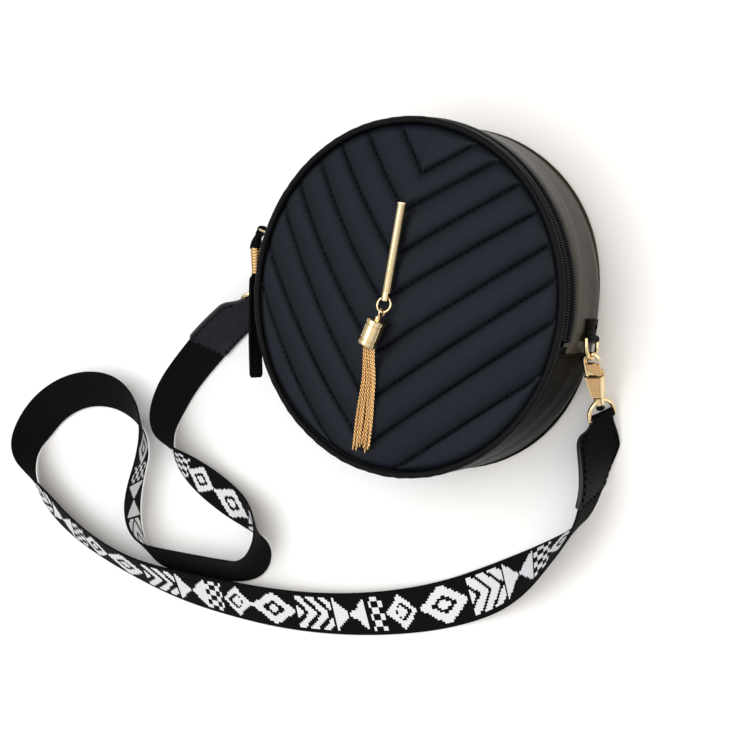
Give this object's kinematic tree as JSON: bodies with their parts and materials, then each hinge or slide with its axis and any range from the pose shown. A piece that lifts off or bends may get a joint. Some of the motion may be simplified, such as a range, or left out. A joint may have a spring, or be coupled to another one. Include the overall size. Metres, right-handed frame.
{
  "type": "round shoulder bag",
  "caption": "Round quilted zip-around shoulder bag with gold ornament bar and chain tassel, zip pull, side rings, swivel hooks and a wide woven strap.",
  "frame": {"origin": "middle of the back panel's outer face, on the surface the bag lies on", "axes": "+Z out of the quilted front, +Y towards the top of the zip, +X to the bag's right seen from the front"},
  "size_m": [0.4584, 0.3577, 0.0827],
  "materials": {
    "leather": "satin grained",
    "quilted_leather": "satin grained, quilted",
    "piping": "satin",
    "lining": "matte twill",
    "padding": "foam",
    "board": "matte",
    "zip_tape": "woven",
    "zip_teeth": "satin",
    "gold_metal": "polished light gold",
    "webbing": "woven jacquard"
  },
  "bodies": {
    "bag": {"back_panel": "leather", "back_board": "board", "back_lining": "lining", "back_piping": "piping", "gusset_bottom": "leather", "gusset_bottom_lining": "lining", "gusset_top": "leather", "gusset_top_lining": "lining", "zip_tape_back": "zip_tape", "zip_teeth_back": "zip_teeth", "zip_end_right": "leather", "zip_end_left": "leather", "zip_stops": "gold_metal", "front_cover_lower": "quilted_leather", "front_padding_lower": "padding", "front_lining_lower": "lining", "front_piping_lower": "piping", "ring_tab_right": "leather", "strap_loop_right": "gold_metal", "ring_tab_left": "leather", "strap_loop_left": "gold_metal", "strap_webbing": "webbing", "strap_end_left": "leather", "strap_end_right": "leather"},
    "flap": {"front_cover_upper": "quilted_leather", "front_padding_upper": "padding", "front_lining_upper": "lining", "front_piping_upper": "piping", "zip_strip_front": "leather", "zip_tape_front": "zip_tape", "zip_teeth_front": "zip_teeth", "ornament_bar": "gold_metal", "bar_washers": "gold_metal"},
    "slider": {"zip_slider": "gold_metal"},
    "pull": {"pull_leather": "leather", "pull_ferrule": "gold_metal"},
    "tassel_ring": {"jump_ring": "gold_metal"},
    "tassel": {"tassel_link": "gold_metal", "tassel_cap": "gold_metal", "tassel_chains": "gold_metal"},
    "d_ring_left": {"d_ring_left": "gold_metal"},
    "d_ring_right": {"d_ring_right": "gold_metal"},
    "hook_left": {"hook_body_left": "gold_metal"},
    "hook_right": {"hook_body_right": "gold_metal"},
    "gate_left": {"hook_gate_left": "gold_metal"},
    "gate_right": {"hook_gate_right": "gold_metal"}
  },
  "joints": [
    {"name": "front_open", "type": "hinge", "parent": "bag", "child": "flap", "pos_m": [0, 0, 0.07325], "axis": [1, 0, 0], "range_deg": [0, 70]},
    {"name": "zip_slide", "type": "hinge", "parent": "bag", "child": "slider", "pos_m": [0, 0, 0.0505], "axis": [0, 0, 1], "range_deg": [-168, 10]},
    {"name": "pull_swing", "type": "hinge", "parent": "slider", "child": "pull", "pos_m": [-0.11289, 0.02194, 0.0529], "axis": [0, 0, -1], "range_deg": [-4, 110]},
    {"name": "tassel_lift", "type": "hinge", "parent": "bag", "child": "tassel_ring", "pos_m": [-0.002, 0, 0.07325], "axis": [-1, 0, 0], "range_deg": [0, 55]},
    {"name": "tassel_swing", "type": "hinge", "parent": "tassel_ring", "child": "tassel", "pos_m": [-0.002, -0.00861, 0.07508], "axis": [0, 0, 1], "range_deg": [-30, 30]},
    {"name": "ring_turn_left", "type": "hinge", "parent": "bag", "child": "d_ring_left", "pos_m": [-0.10668, -0.00224, 0.025], "axis": [0, 0, 1], "range_deg": [-2, 2]},
    {"name": "hook_swivel_left", "type": "hinge", "parent": "bag", "child": "hook_left", "pos_m": [-0.11644, -0.00946, 0.02447], "axis": [-0.74, -0.5475, -0.3907], "range_deg": [-10, 10]},
    {"name": "gate_open_left", "type": "hinge", "parent": "hook_left", "child": "gate_left", "pos_m": [-0.119, -0.01683, 0.02174], "axis": [-0.3141, -0.2324, 0.9205], "range_deg": [0, 18], "stiffness_Nm_per_rad": 0.02, "springref_deg": -17.19},
    {"name": "ring_turn_right", "type": "hinge", "parent": "bag", "child": "d_ring_right", "pos_m": [0.10668, -0.00224, 0.025], "axis": [0, 0, 1], "range_deg": [-2, 2]},
    {"name": "hook_swivel_right", "type": "hinge", "parent": "bag", "child": "hook_right", "pos_m": [0.1092, -0.0141, 0.02445], "axis": [0.1899, -0.8936, -0.4067], "range_deg": [-10, 10]},
    {"name": "gate_open_right", "type": "hinge", "parent": "hook_right", "child": "gate_right", "pos_m": [0.11483, -0.01944, 0.0216], "axis": [0.0846, -0.3978, 0.9136], "range_deg": [0, 18], "stiffness_Nm_per_rad": 0.02, "springref_deg": -17.19}
  ]
}
